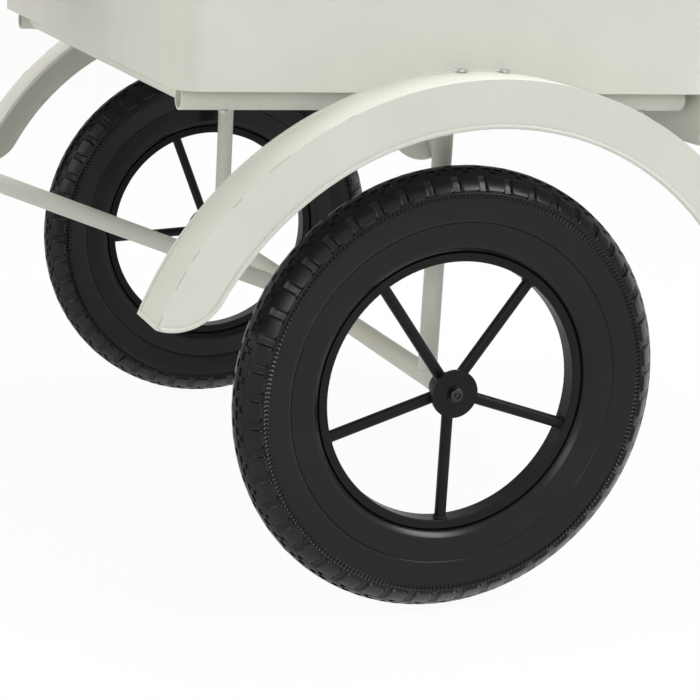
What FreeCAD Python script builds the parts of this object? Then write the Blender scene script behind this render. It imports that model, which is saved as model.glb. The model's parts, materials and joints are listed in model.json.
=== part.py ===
import FreeCAD, Part
import math
import os

# Tricycle display stand. Millimetres, +X to the rear, -Y to the left side, +Z up.
# The origin lies on the ground, below the middle of the stand's box.

# Layout of the three wheels
track = 636.0
wheelbase = 760.0
steering_tilt = 18.0
backbone_rise = 20.8

# Wheel: tyre, rolled rim, rod spokes and welded hub
tyre_radius = 182.0
tyre_half_width = 21.0
rim_inner_radius = 107.0
rim_thickness = 7.0
rim_width = 17.0
rim_edge_round = 1.2
spoke_count = 5
spoke_diameter = 9.4
hub_diameter = 23.0
hub_bore = 15.0
hub_inner_reach = 14.0
hub_outer_reach = 12.0
hub_disc_diameter = 39.4
hub_disc_thickness = 3.0
bush_length = 9.0
bush_flange_diameter = 20.0
bush_flange_thickness = 1.0
left_wheel_angle = -90.0
right_wheel_angle = -104.0
front_wheel_angle = 90.0

# Tyre section, as shares of its height over the rim and of its half width
bead_shares = ((0.000, 0.24), (0.018, 0.24), (0.045, 0.585), (0.105, 0.680))
ring_line_shares = ((0.373, 0.749), (0.380, 0.720), (0.387, 0.755))
cheek_shares = ((0.387, 0.755), (0.520, 0.850), (0.640, 0.907))
band_shares = ((0.640, 0.907), (0.742, 0.928), (0.768, 1.000))
shoulder_shares = ((0.768, 1.000), (0.880, 0.687), (0.9715, 0.311))

# Tread: pads round the shoulder and rows of notches and pockets up to the crown, as shares of a pitch
# along the tyre and of its half width across; the far side is turned on by the stagger
tread_count = 48
tread_angle = -1.6
gap_depth_share = 0.88
pad_foot_share = 0.71
pad_top_share = 0.72
pad_end_shares = (0.930, 0.512)
pocket_depth = 1.6
notch_row_shares = (0.395, 0.512)
near_row_shares = (0.242, 0.385)
middle_row_shares = (0.000, 0.197)
notch_shares = ((0.28, 0.44),)
near_pocket_shares = ((0.01, 0.26), (0.46, 0.73))
middle_pocket_shares = ((0.76, 0.99),)
stagger_share = 0.5

# Fits
running_fit = 0.04
running_gap = 0.3
overrun = 5.0

# Rear axle
axle_tube_diameter = 17.2
tube_wall = 1.5
spindle_diameter = 10.0
spindle_root_length = 60.0
axle_screw_diameter = 6.0
axle_screw_length = 22.0
axle_screw_head_diameter = 11.5
axle_screw_head_height = 3.2
screw_dome_share = 0.45
axle_washer_diameter = 13.0
axle_washer_thickness = 1.0

# Welded frame tubes
frame_tube_diameter = 16.0
upright_inset = 44.0
rail_diameter = 18.0
rail_end_inset = 10.0
crossbar_inset = 26.0
head_tube_diameter = 32.0
head_tube_length = 110.0
head_tube_bore = 26.0

# Trays of folded sheet
sheet = 1.2
upper_tray_front = 230.0
upper_tray_rear = 223.0
upper_tray_height = 100.0
lower_tray_length = 237.0
tray_step = 44.0
lower_tray_height = 70.0
tray_corner_radius = 18.0
tray_rim_height = 9.0
tray_rim_lip = 3.5
tray_screw_inset = 36.0
joining_screw_count = 4

# Fenders: a flat side and an outer band, with folded hems on the free edges
fender_radius = 286.5
fender_side_depth = 37.3
fender_width = 50.0
fender_outer_reach = 38.5
fender_centre_drop = 33.0
fender_crown_stand = 17.5
fender_centre_rear = 12.0
fender_end_angle = 21.0
fender_corner_radius = 42.0
hem_width = 3.6
hem_height = 0.9
fender_bracket_length = 60.0
fender_bracket_leg = 16.0
fender_bracket_thickness = 2.0
fender_screw_spacing = 36.0

# Small screws of the sheet work
screw_diameter = 3.5
screw_head_diameter = 7.5
screw_head_height = 2.2
screw_tail = 6.0

# Seat
seat_tube_forward = 400.0
seat_tube_diameter = 22.0
seat_tube_length = 85.0
seat_post_diameter = 19.0
seat_post_insertion = 50.0
seat_collar_diameter = 30.0
seat_collar_height = 16.0
saddle_height = 510.0
saddle_length = 240.0
saddle_half_width = 92.0
saddle_crown = 40.0
saddle_wall = 3.0
saddle_post_share = 0.36
saddle_plate_diameter = 64.0
saddle_plate_depth = 12.0

# Fork and steering column, measured along the steering axis from the front axle
fork_half_spacing = 36.0
fork_end_thickness = 5.0
fork_end_width = 24.0
fork_end_rise = 26.0
crown_clearance = 14.0
crown_width = 28.0
crown_thickness = 10.0
crown_edge_round = 2.0
steerer_diameter = 22.0
steerer_wall = 2.0
headset_flange_height = 9.0
headset_flange_diameter = 36.0
headset_bush_depth = 22.0
lock_collar_height = 12.0
bar_height = 560.0
stem_socket_diameter = 30.0
stem_socket_depth = 46.0
stem_barrel_diameter = 30.0
stem_barrel_width = 46.0
bar_diameter = 16.0
bar_bend_radius = 45.0
bar_straight_reach = 75.0
bar_rise = 58.0
bar_shoulder_reach = 165.0
bar_shoulder_back = 24.0
bar_end_reach = 268.0
bar_end_back = 160.0
bar_end_drop = 6.0
grip_length = 112.0
grip_diameter = 29.0
grip_flange_diameter = 38.0
grip_flange_thickness = 5.0
grip_end_thickness = 4.0
grip_rib_count = 7
grip_rib_depth = 1.4

# Front axle, cranks and pedals
front_axle_diameter = 12.0
spacer_diameter = 18.0
crank_clearance = 1.0
crank_length = 85.0
crank_width = 22.0
crank_thickness = 6.0
axle_nut_diameter = 20.0
axle_nut_height = 9.0
pedal_pin_diameter = 9.0
pedal_length = 76.0
pedal_sleeve_diameter = 15.0
pedal_pad_width = 17.0
pedal_pad_height = 20.0
pedal_pad_round = 3.0
pedal_plate_thickness = 3.0
pedal_depth = 56.0
pedal_head_diameter = 14.0
pedal_head_thickness = 3.0

# Places worked out from the sizes above
rim_outer_radius = rim_inner_radius + rim_thickness
half_track = track / 2
upper_tray_underside = fender_radius - fender_centre_drop - fender_crown_stand
lower_tray_underside = upper_tray_underside - tray_step
lower_tray_rear = upper_tray_rear + lower_tray_length
axle_x = (wheelbase + tyre_radius - lower_tray_rear - tray_rim_lip) / 2
axle_z = tyre_radius
front_axle_x = axle_x - wheelbase
tilt = math.radians(steering_tilt)
rise = math.radians(backbone_rise)
upright_y = half_track - upright_inset
rail_z = axle_z + upper_tray_underside - rail_diameter / 2
tray_half_width = half_track + fender_outer_reach - fender_width
fender_x = axle_x + fender_centre_rear
fender_z = axle_z - fender_centre_drop
axle_tube_end = hub_inner_reach + bush_flange_thickness + running_gap
spindle_tip = hub_outer_reach + running_gap
crown_bottom = tyre_radius + crown_clearance
crown_top = crown_bottom + crown_thickness
head_bottom = crown_top + running_gap + headset_flange_height
head_top = head_bottom + head_tube_length
collar_bottom = head_top + headset_flange_height + running_gap
head_joint_rise = wheelbase * math.tan(rise) / (1 + math.tan(tilt) * math.tan(rise))

X_AXIS = FreeCAD.Vector(1, 0, 0)
Y_AXIS = FreeCAD.Vector(0, 1, 0)
Z_AXIS = FreeCAD.Vector(0, 0, 1)
FULL_TURN = 360.0
HALF_TURN = 180.0
QUARTER_TURN = 90.0
tread_pitch = FULL_TURN / tread_count


def vec(x, y, z):
    return FreeCAD.Vector(x, y, z)


def rod(start, end, diameter):
    along = end - start
    return Part.makeCylinder(diameter / 2, along.Length, start, along)


def tube(start, end, diameter, wall):
    return rod(start, end, diameter).cut(rod(start, end, diameter - 2 * wall))


def ring(outer_radius, inner_radius, low_y, high_y):
    start = vec(0, low_y, 0)
    outer = Part.makeCylinder(outer_radius, high_y - low_y, start, Y_AXIS)
    return outer.cut(Part.makeCylinder(inner_radius, high_y - low_y, start, Y_AXIS))


def block(low, high):
    size = high - low
    return Part.makeBox(size.x, size.y, size.z, low)


def turned(shape, axis, degrees):
    result = shape.copy()
    result.rotate(vec(0, 0, 0), axis, degrees)
    return result


def moved(shape, x, y, z):
    result = shape.copy()
    result.translate(vec(x, y, z))
    return result


def mirrored(shape):
    return shape.mirror(vec(0, 0, 0), Y_AXIS)


def polar(radius, degrees, y):
    angle = math.radians(degrees)
    return vec(radius * math.cos(angle), y, radius * math.sin(angle))


def merged(shape):
    return shape.removeSplitter()


def level_edges(shape, way, level):
    found = []
    for edge in shape.Edges:
        heights = [vertex.Point.dot(way) for vertex in edge.Vertexes]
        if max(abs(height - level) for height in heights) < running_fit and edge.Closed:
            found.append(edge)
    return found


def save(name, *shapes):
    shape = shapes[0] if len(shapes) == 1 else Part.makeCompound(list(shapes))
    shape.exportStep("parts/" + name + ".step")


# Wheel pieces, about the wheel's own centre with the outer side to -Y

def section_point(rise_share, width_share):
    height = tyre_radius - rim_outer_radius
    return vec(rim_outer_radius + height * rise_share, -tyre_half_width * width_share, 0)


def section_points(shares):
    return [section_point(*pair) for pair in shares]


def arc(start, middle, end):
    return Part.Arc(start, middle, end).toShape()


def tyre_body():
    bead = section_points(bead_shares)
    near = Part.makePolygon(bead + section_points(ring_line_shares)).Edges
    near.append(arc(*section_points(cheek_shares)))
    near += Part.makePolygon(section_points(band_shares)).Edges
    near.append(arc(*section_points(shoulder_shares)))
    far = [mirrored(edge).Edges[0] for edge in near]
    crown_edge = section_point(*shoulder_shares[-1])
    crown = arc(crown_edge, vec(tyre_radius, 0, 0), vec(crown_edge.x, -crown_edge.y, 0))
    seat = Part.makeLine(bead[0], vec(bead[0].x, -bead[0].y, 0))
    outline = Part.Wire(Part.sortEdges(near + far + [crown, seat])[0])
    return Part.Face(outline).revolve(vec(0, 0, 0), Y_AXIS, FULL_TURN)


def crown_level(y):
    edge = section_point(*shoulder_shares[-1])
    sag = tyre_radius - edge.x
    radius = (edge.y ** 2 + sag ** 2) / (2 * sag)
    return tyre_radius - radius + math.sqrt(radius ** 2 - y ** 2)


def beyond_pad(foot, top):
    # the space on the pad's side of its slanted edge, which leans because the pad widens
    low = polar(foot.x, pad_foot_share * tread_pitch, foot.y)
    high = polar(top.x, pad_top_share * tread_pitch, top.y)
    outward = polar(1, (pad_foot_share + pad_top_share) / 2 * tread_pitch, 0)
    along = (high - low).normalize()
    across = along.cross(outward).normalize()
    upward = across.cross(along)
    reach = tyre_radius / 2
    wall = Part.makePlane(2 * reach, 2 * reach, low - (along + upward) * reach, across, along)
    return wall.extrude(across * reach)


def pad_gap():
    foot, bulge, _ = section_points(shoulder_shares)
    top = section_point(*pad_end_shares)
    depth = (section_point(*band_shares[1]).y - foot.y) * gap_depth_share
    floor_foot = foot + Y_AXIS * depth
    floor_bulge = bulge + (Y_AXIS - X_AXIS).normalize() * depth
    below = floor_foot - X_AXIS * depth
    outside = tyre_radius + overrun
    beside = -tyre_half_width - overrun
    edges = [Part.makeLine(below, floor_foot), arc(floor_foot, floor_bulge, top)]
    edges += Part.makePolygon([top, vec(outside, top.y, 0), vec(outside, beside, 0),
                               vec(below.x, beside, 0), below]).Edges
    start = turned(Part.Face(Part.Wire(edges)), -Y_AXIS, pad_foot_share * tread_pitch)
    wedge = start.revolve(vec(0, 0, 0), -Y_AXIS, (1 - pad_foot_share) * tread_pitch)
    return wedge.cut(beyond_pad(foot, top))


def pocket(row_shares, span_shares):
    far_y, near_y = [-tyre_half_width * share for share in row_shares]
    start, end = [share * tread_pitch for share in span_shares]
    half_length = math.radians(end - start) * tyre_radius / 2
    floor = crown_level((near_y + far_y) / 2) - pocket_depth
    tool = block(vec(floor, near_y, -half_length), vec(tyre_radius + overrun, far_y, half_length))
    return turned(tool, -Y_AXIS, (start + end) / 2)


def tyre():
    tools = [pad_gap()]
    for row, spans in ((notch_row_shares, notch_shares), (near_row_shares, near_pocket_shares),
                       (middle_row_shares, middle_pocket_shares)):
        tools += [pocket(row, span) for span in spans]
    cuts = []
    for number in range(tread_count):
        for tool in tools:
            cuts.append(turned(tool, -Y_AXIS, tread_angle + number * tread_pitch))
            cuts.append(turned(mirrored(tool), -Y_AXIS, tread_angle + (number + stagger_share) * tread_pitch))
    return tyre_body().cut(cuts).Solids[0]


def rim():
    hoop = ring(rim_outer_radius, rim_inner_radius, -rim_width / 2, rim_width / 2)
    edges = level_edges(hoop, Y_AXIS, -rim_width / 2) + level_edges(hoop, Y_AXIS, rim_width / 2)
    inner_edges = [edge for edge in edges if edge.Curve.Radius < rim_outer_radius]
    return hoop.makeFillet(rim_edge_round, inner_edges)


def spokes(turn):
    opening = ring(rim_inner_radius, hub_diameter / 2, -rim_width, rim_width)
    found = []
    for number in range(spoke_count):
        tip = polar(rim_outer_radius, turn + number * FULL_TURN / spoke_count, 0)
        found.append(rod(vec(0, 0, 0), tip, spoke_diameter).common(opening))
    return found


def hub(disc_bore):
    shell_start = hub_disc_thickness - hub_outer_reach
    shell = ring(hub_diameter / 2, hub_bore / 2, shell_start, hub_inner_reach)
    disc = ring(hub_disc_diameter / 2, disc_bore / 2, -hub_outer_reach, shell_start)
    return merged(shell.fuse(disc))


def bushes(bore):
    outer_start = hub_disc_thickness - hub_outer_reach
    outer = ring(hub_bore / 2, bore / 2, outer_start, outer_start + bush_length)
    sleeve = ring(hub_bore / 2, bore / 2, hub_inner_reach - bush_length, hub_inner_reach)
    flange = ring(bush_flange_diameter / 2, bore / 2,
                  hub_inner_reach, hub_inner_reach + bush_flange_thickness)
    return [outer, merged(sleeve.fuse(flange))]


def save_wheel(name, tyre_solid, place, turn, shaft_diameter, play):
    bore = shaft_diameter + 2 * play
    save(name + "_tyre", place(tyre_solid))
    save(name + "_rim", place(rim()))
    save(name + "_spokes", *[place(spoke) for spoke in spokes(turn)])
    save(name + "_hub", place(hub(shaft_diameter + 2 * running_gap)))
    save(name + "_hub_bushes", *[place(bush) for bush in bushes(bore)])


def at_left_wheel(shape):
    return moved(shape, axle_x, -half_track, axle_z)


def at_right_wheel(shape):
    return mirrored(at_left_wheel(shape))


# Rear axle

def rear_axle_tube():
    start = vec(axle_x, axle_tube_end - half_track, axle_z)
    return tube(start, vec(start.x, -start.y, start.z), axle_tube_diameter, tube_wall)


def spindle():
    root_diameter = axle_tube_diameter - 2 * tube_wall
    shaft = rod(vec(0, -spindle_tip, 0), vec(0, axle_tube_end, 0), spindle_diameter)
    root = rod(vec(0, axle_tube_end, 0), vec(0, axle_tube_end + spindle_root_length, 0), root_diameter)
    thread = rod(vec(0, -spindle_tip, 0), vec(0, axle_screw_length - spindle_tip, 0), axle_screw_diameter)
    return merged(shaft.fuse(root)).cut(thread)


def axle_washer():
    return ring(axle_washer_diameter / 2, axle_screw_diameter / 2,
                -spindle_tip - axle_washer_thickness, -spindle_tip)


def axle_screw():
    seat = -spindle_tip - axle_washer_thickness
    head = rod(vec(0, seat - axle_screw_head_height, 0), vec(0, seat, 0), axle_screw_head_diameter)
    domed = head.makeFillet(axle_screw_head_height * screw_dome_share,
                            level_edges(head, Y_AXIS, seat - axle_screw_head_height))
    shank = rod(vec(0, seat, 0), vec(0, seat + axle_screw_length, 0), axle_screw_diameter)
    return merged(domed.fuse(shank))


# Welded frame

def axle_rod():
    return rod(vec(axle_x, -half_track, axle_z), vec(axle_x, half_track, axle_z), axle_tube_diameter)


def rail_line(side):
    y = side * upright_y
    front = vec(axle_x - upper_tray_front + rail_end_inset, y, rail_z)
    return front, vec(axle_x + upper_tray_rear - rail_end_inset, y, rail_z)


def upright(side):
    y = side * upright_y
    post = tube(vec(axle_x, y, axle_z), vec(axle_x, y, rail_z), frame_tube_diameter, tube_wall)
    return post.cut(axle_rod()).cut(rod(*rail_line(side), rail_diameter))


def tray_rail(side):
    return tube(*rail_line(side), rail_diameter, tube_wall).cut(tray_screw_holes())


def crossbar(x):
    bar = tube(vec(x, -upright_y, rail_z), vec(x, upright_y, rail_z), frame_tube_diameter, tube_wall)
    for side in (-1, 1):
        bar = bar.cut(rod(*rail_line(side), rail_diameter))
    return bar


def steering_point(height):
    return vec(front_axle_x + height * math.sin(tilt), 0, axle_z + height * math.cos(tilt))


def head_rod(diameter):
    return rod(steering_point(head_bottom), steering_point(head_top), diameter)


def backbone_line():
    joint = steering_point(head_joint_rise / math.cos(tilt))
    return vec(axle_x, 0, axle_z), joint


def backbone_tube():
    beam = tube(*backbone_line(), frame_tube_diameter, tube_wall)
    return beam.cut(axle_rod()).cut(head_rod(head_tube_diameter))


def head_tube():
    return head_rod(head_tube_diameter).cut(head_rod(head_tube_bore))


# Trays

def tray(low_x, high_x, underside, height):
    low = vec(low_x, -tray_half_width, underside)
    high = vec(high_x, tray_half_width, underside + height)
    inset = vec(sheet, sheet, 0)
    lip = vec(tray_rim_lip, tray_rim_lip, 0)
    pan = rounded_block(low, high, tray_corner_radius)
    hollow = rounded_block(low + inset + vec(0, 0, sheet), high - inset + vec(0, 0, overrun),
                           tray_corner_radius - sheet)
    rim_low = vec(low.x, low.y, high.z - tray_rim_height)
    band = rounded_block(rim_low - lip, high + lip, tray_corner_radius + tray_rim_lip)
    return merged(pan.fuse(band).cut(hollow))


def rounded_block(low, high, radius):
    box = block(low, high)
    upright_edges = [edge for edge in box.Edges
                     if edge.BoundBox.ZLength > edge.BoundBox.XLength + edge.BoundBox.YLength]
    return box.makeFillet(radius, upright_edges)


def upper_tray():
    pan = tray(axle_x - upper_tray_front, axle_x + upper_tray_rear,
               axle_z + upper_tray_underside, upper_tray_height)
    for hole in (tray_screw_holes(), joining_screw_holes(), fender_side_holes()):
        pan = pan.cut(hole)
    return pan


def lower_tray():
    front = axle_x + upper_tray_rear
    underside = axle_z + lower_tray_underside
    pan = tray(front, front + lower_tray_length, underside, lower_tray_height)
    ahead = block(vec(front - tray_rim_lip - overrun, -tray_half_width - overrun, underside),
                  vec(front, tray_half_width + overrun, underside + lower_tray_height + overrun))
    return pan.cut(ahead).cut(joining_screw_holes())


# Screws of the sheet work; each lies along a direction from its seat

def screw(seat, direction, grip_depth):
    head = rod(seat - direction * screw_head_height, seat, screw_head_diameter)
    shank = rod(seat, seat + direction * grip_depth, screw_diameter)
    return merged(head.fuse(shank))


def screw_hole(seat, direction, grip_depth):
    return rod(seat, seat + direction * grip_depth, screw_diameter)


def tray_screw_seats():
    found = []
    for side in (-1, 1):
        front, rear = rail_line(side)
        for x in (front.x + tray_screw_inset, rear.x - tray_screw_inset):
            found.append(vec(x, front.y, rail_z - rail_diameter / 2))
    return found


# The tray's screws come from below and end flush with its floor
def tray_screw_grip():
    return rail_diameter + sheet


def tray_screw_holes():
    return Part.makeCompound([screw_hole(seat, Z_AXIS, tray_screw_grip()) for seat in tray_screw_seats()])


def joining_screw_seats():
    overlap = lower_tray_underside + lower_tray_height - upper_tray_underside
    z = axle_z + upper_tray_underside + overlap / 2
    gap = 2 * tray_half_width / joining_screw_count
    x = axle_x + upper_tray_rear + sheet
    return [vec(x, (number + 0.5) * gap - tray_half_width, z) for number in range(joining_screw_count)]


def joining_screw_holes():
    return Part.makeCompound([screw_hole(seat, -X_AXIS, screw_tail) for seat in joining_screw_seats()])


# Fender, with its arc centre at the origin and its flat side at y = 0

def sector(outer_radius, inner_radius, end_angle, low_y, high_y):
    sweep = HALF_TURN - 2 * end_angle
    profile = Part.makePolygon([
        polar(inner_radius, end_angle, low_y),
        polar(outer_radius, end_angle, low_y),
        polar(outer_radius, end_angle, high_y),
        polar(inner_radius, end_angle, high_y),
        polar(inner_radius, end_angle, low_y),
    ])
    return Part.Face(profile).revolve(vec(0, 0, 0), -Y_AXIS, sweep)


def corner_span(outer_radius, corner):
    # the angle at the fender's centre between a corner's hub and the corner's outer end
    hub_reach = fender_radius - fender_side_depth + fender_corner_radius
    cosine = (hub_reach ** 2 + outer_radius ** 2 - corner ** 2) / (2 * hub_reach * outer_radius)
    return math.degrees(math.acos(cosine))


def fender_side_face(outer_radius, inset, y):
    # each end is one arc, from the crease round to the inner edge
    inner_radius = fender_radius - fender_side_depth + inset
    corner = fender_corner_radius - inset
    hub_angle = fender_end_angle + corner_span(fender_radius, fender_corner_radius)
    tip_angle = hub_angle - corner_span(outer_radius, corner)

    def end_arc(mirror):
        def at(radius, degrees):
            return polar(radius, HALF_TURN - degrees if mirror else degrees, y)
        hub = at(inner_radius + corner, hub_angle)
        tip = at(outer_radius, tip_angle)
        tangent = at(inner_radius, hub_angle)
        bulge = hub + ((tip + tangent) / 2 - hub).normalize() * corner
        return tip, bulge, tangent

    rear = end_arc(False)
    front = end_arc(True)
    edges = [
        arc(*rear),
        arc(rear[2], polar(inner_radius, QUARTER_TURN, y), front[2]),
        arc(*reversed(front)),
        arc(front[0], polar(outer_radius, QUARTER_TURN, y), rear[0]),
    ]
    return Part.Face(Part.Wire(edges))


def fender():
    hem_angle = math.degrees(hem_width / fender_radius)
    side = fender_side_face(fender_radius, 0, 0).extrude(Y_AXIS * sheet)
    band = sector(fender_radius, fender_radius - sheet, fender_end_angle, 0, fender_width)
    side_hem = fender_side_face(fender_radius, 0, -hem_height).extrude(Y_AXIS * hem_height)
    side_field = fender_side_face(fender_radius + overrun, hem_width, -overrun).extrude(Y_AXIS * overrun)
    side_hem = side_hem.cut(side_field)
    band_hem = sector(fender_radius + hem_height, fender_radius - sheet, fender_end_angle, 0, fender_width)
    band_field = sector(fender_radius + overrun, fender_radius - sheet, fender_end_angle + hem_angle,
                        -overrun, fender_width - hem_width)
    band_hem = band_hem.cut(band_field)
    shell = side.fuse(band).fuse(side_hem).fuse(band_hem)
    for seat in fender_band_seats():
        shell = shell.cut(screw_hole(seat, -Z_AXIS, screw_tail + overrun))
    return merged(shell)


def fender_bracket():
    crown = fender_radius - sheet
    half = fender_bracket_length / 2
    bottom = fender_bracket_bottom()
    upright_leg = block(vec(-half, fender_width - fender_bracket_thickness, bottom),
                        vec(half, fender_width, crown))
    flat_leg = block(vec(-half, fender_width - fender_bracket_leg, bottom), vec(half, fender_width, crown))
    under_band = Part.makeCylinder(crown, fender_width, vec(0, 0, 0), Y_AXIS)
    below_leg = Part.makeCylinder(crown - fender_bracket_thickness, fender_width, vec(0, 0, 0), Y_AXIS)
    angle = upright_leg.common(under_band).fuse(flat_leg.common(under_band).cut(below_leg))
    for seat in fender_band_seats():
        angle = angle.cut(screw_hole(seat, -Z_AXIS, screw_tail + overrun))
    for seat in fender_side_seats():
        angle = angle.cut(screw_hole(seat, -Y_AXIS, screw_tail))
    return merged(angle)


def fender_bracket_bottom():
    return upper_tray_underside + fender_centre_drop


def fender_screw_xs():
    return (-fender_screw_spacing / 2, fender_screw_spacing / 2)


def fender_band_seats():
    y = fender_width - fender_bracket_leg / 2
    return [vec(x, y, fender_radius) for x in fender_screw_xs()]


def fender_side_seats():
    z = (fender_bracket_bottom() + fender_radius) / 2
    return [vec(x, fender_width + sheet, z) for x in fender_screw_xs()]


def fender_screws():
    found = []
    for seat in fender_band_seats():
        found.append(screw(seat, -Z_AXIS, screw_tail))
    for seat in fender_side_seats():
        found.append(screw(seat, -Y_AXIS, screw_tail))
    return found


def at_left_fender(shape):
    return moved(shape, fender_x, -half_track - fender_outer_reach, fender_z)


def fender_side_holes():
    holes = [at_left_fender(screw_hole(seat, -Y_AXIS, screw_tail)) for seat in fender_side_seats()]
    return Part.makeCompound(holes + [mirrored(hole) for hole in holes])


# Seat

def seat_base():
    x = axle_x - seat_tube_forward
    return vec(x, 0, axle_z + seat_tube_forward * math.tan(rise))


def seat_tube():
    base = seat_base()
    socket = tube(base, base + Z_AXIS * seat_tube_length, seat_tube_diameter,
                  (seat_tube_diameter - seat_post_diameter) / 2)
    return socket.cut(rod(*backbone_line(), frame_tube_diameter))


def seat_post():
    base = seat_base()
    start = base.z + seat_tube_length - seat_post_insertion
    top = saddle_height + saddle_crown - saddle_plate_depth
    return rod(vec(base.x, 0, start), vec(base.x, 0, top), seat_post_diameter)


def seat_collar():
    base = seat_base()
    low = base + Z_AXIS * (seat_tube_length - seat_collar_height / 2)
    high = low + Z_AXIS * seat_collar_height
    ring_solid = rod(low, high, seat_collar_diameter)
    for inner in (seat_tube(), seat_post()):
        ring_solid = ring_solid.cut(inner)
    return ring_solid


saddle_station_shares = (
    (0.00, 0.72, 0.70),
    (0.10, 0.94, 0.92),
    (0.28, 1.00, 1.00),
    (0.52, 0.66, 0.94),
    (0.76, 0.33, 0.86),
    (0.96, 0.24, 0.72),
    (1.00, 0.17, 0.50),
)


def saddle_form(inset):
    rear = seat_base().x + saddle_length * saddle_post_share
    sections = []
    for along_share, width_share, crown_share in saddle_station_shares:
        length = saddle_length - 2 * inset
        x = rear - inset - length * along_share
        half = saddle_half_width * width_share - inset
        low = vec(x, -half, saddle_height - inset)
        high = vec(x, half, saddle_height - inset)
        top = vec(x, 0, saddle_height + saddle_crown * crown_share - inset)
        sections.append(Part.Wire([Part.Arc(low, top, high).toShape(), Part.makeLine(high, low)]))
    return Part.makeLoft(sections, True)


def saddle():
    return saddle_form(0).cut(saddle_form(saddle_wall))


def saddle_plate():
    base = seat_base()
    low = vec(base.x, 0, saddle_height + saddle_crown - saddle_plate_depth)
    high = vec(base.x, 0, saddle_height + saddle_crown)
    return rod(low, high, saddle_plate_diameter).common(saddle_form(saddle_wall))


# Steering pieces, about the front axle with the steering axis along Z

def in_steering(shape):
    return moved(turned(shape, Y_AXIS, steering_tilt), front_axle_x, 0, axle_z)


def fork_blade(side):
    y = side * fork_half_spacing
    return tube(vec(0, y, fork_end_rise), vec(0, y, crown_bottom), frame_tube_diameter, tube_wall)


def fork_end(side):
    y = side * fork_half_spacing
    half = fork_end_thickness / 2
    low = vec(0, y - half, 0)
    tab = block(vec(-fork_end_width / 2, y - half, 0), vec(fork_end_width / 2, y + half, fork_end_rise))
    eye = rod(low, vec(0, y + half, 0), fork_end_width)
    hole = rod(low, vec(0, y + half, 0), front_axle_diameter + 2 * running_fit)
    return merged(tab.fuse(eye)).cut(hole)


def fork_crown():
    half = crown_width / 2
    bar = block(vec(-half, -fork_half_spacing, crown_bottom), vec(half, fork_half_spacing, crown_top))
    for side in (-1, 1):
        end = vec(0, side * fork_half_spacing, crown_bottom)
        bar = bar.fuse(rod(end, end + Z_AXIS * crown_thickness, crown_width))
    bar = merged(bar)
    rims = [edge for edge in bar.Edges if edge.BoundBox.ZLength < crown_edge_round]
    return bar.makeFillet(crown_edge_round, rims)


def steerer():
    return tube(vec(0, 0, crown_top), vec(0, 0, steerer_top()), steerer_diameter, steerer_wall)


def steerer_top():
    return bar_height - stem_barrel_diameter / 2


def headset_bush(face, outward):
    end = face + outward * headset_flange_height
    depth = face - outward * headset_bush_depth
    flange = rod(vec(0, 0, min(face, end)), vec(0, 0, max(face, end)), headset_flange_diameter)
    sleeve = rod(vec(0, 0, min(face, depth)), vec(0, 0, max(face, depth)), head_tube_bore)
    bore = rod(vec(0, 0, min(end, depth)), vec(0, 0, max(end, depth)), steerer_diameter + 2 * running_fit)
    return merged(flange.fuse(sleeve)).cut(bore)


def lock_collar():
    low = vec(0, 0, collar_bottom)
    high = vec(0, 0, collar_bottom + lock_collar_height)
    return rod(low, high, headset_flange_diameter).cut(rod(low, high, steerer_diameter))


def stem():
    socket = rod(vec(0, 0, steerer_top() - stem_socket_depth), vec(0, 0, bar_height), stem_socket_diameter)
    half = stem_barrel_width / 2
    barrel = rod(vec(0, -half, bar_height), vec(0, half, bar_height), stem_barrel_diameter)
    body = merged(socket.fuse(barrel))
    body = body.cut(rod(vec(0, 0, crown_top), vec(0, 0, steerer_top()), steerer_diameter))
    return body.cut(rod(vec(0, -half, bar_height), vec(0, half, bar_height), bar_diameter))


def bar_points():
    middle = vec(0, bar_straight_reach, bar_height)
    shoulder = vec(bar_shoulder_back, bar_shoulder_reach, bar_height + bar_rise)
    end = vec(bar_end_back, bar_end_reach, bar_height + bar_rise - bar_end_drop)
    right = [middle, shoulder, end]
    left = [vec(point.x, -point.y, point.z) for point in reversed(right)]
    return left + right


def bent_path(points, radius):
    edges = []
    start = points[0]
    for before, corner, after in zip(points, points[1:], points[2:]):
        back = (before - corner).normalize()
        ahead = (after - corner).normalize()
        half = back.getAngle(ahead) / 2
        run = radius / math.tan(half)
        centre_way = (back + ahead).normalize()
        middle = corner + centre_way * (radius / math.sin(half) - radius)
        first = corner + back * run
        last = corner + ahead * run
        edges.append(Part.makeLine(start, first))
        edges.append(Part.Arc(first, middle, last).toShape())
        start = last
    edges.append(Part.makeLine(start, points[-1]))
    return Part.Wire(edges)


def handlebar():
    points = bar_points()
    path = bent_path(points, bar_bend_radius)
    section = Part.Wire(Part.makeCircle(bar_diameter / 2, points[0], points[1] - points[0]))
    return path.makePipeShell([section], True, False)


def grip(side):
    points = bar_points() if side > 0 else list(reversed(bar_points()))
    inward = (points[-2] - points[-1]).normalize()
    tip = points[-1] - inward * grip_end_thickness
    pitch = (grip_length - grip_flange_thickness) / grip_rib_count
    body = rod(tip, tip + inward * grip_length, grip_diameter - 2 * grip_rib_depth)
    for number in range(grip_rib_count):
        low = tip + inward * (number * pitch)
        body = body.fuse(rod(low, low + inward * (pitch / 2), grip_diameter))
    flange = tip + inward * (grip_length - grip_flange_thickness)
    body = body.fuse(rod(flange, tip + inward * grip_length, grip_flange_diameter))
    return merged(body).cut(rod(points[-1], points[-1] + inward * grip_length, bar_diameter))


# Front axle, cranks and pedals, about the front axle

def crank_face():
    return fork_half_spacing + frame_tube_diameter / 2 + crank_clearance


def nut_face():
    return crank_face() + crank_thickness


def front_axle():
    reach = nut_face() + axle_nut_height / 2
    return rod(vec(0, -reach, 0), vec(0, reach, 0), front_axle_diameter)


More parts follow.
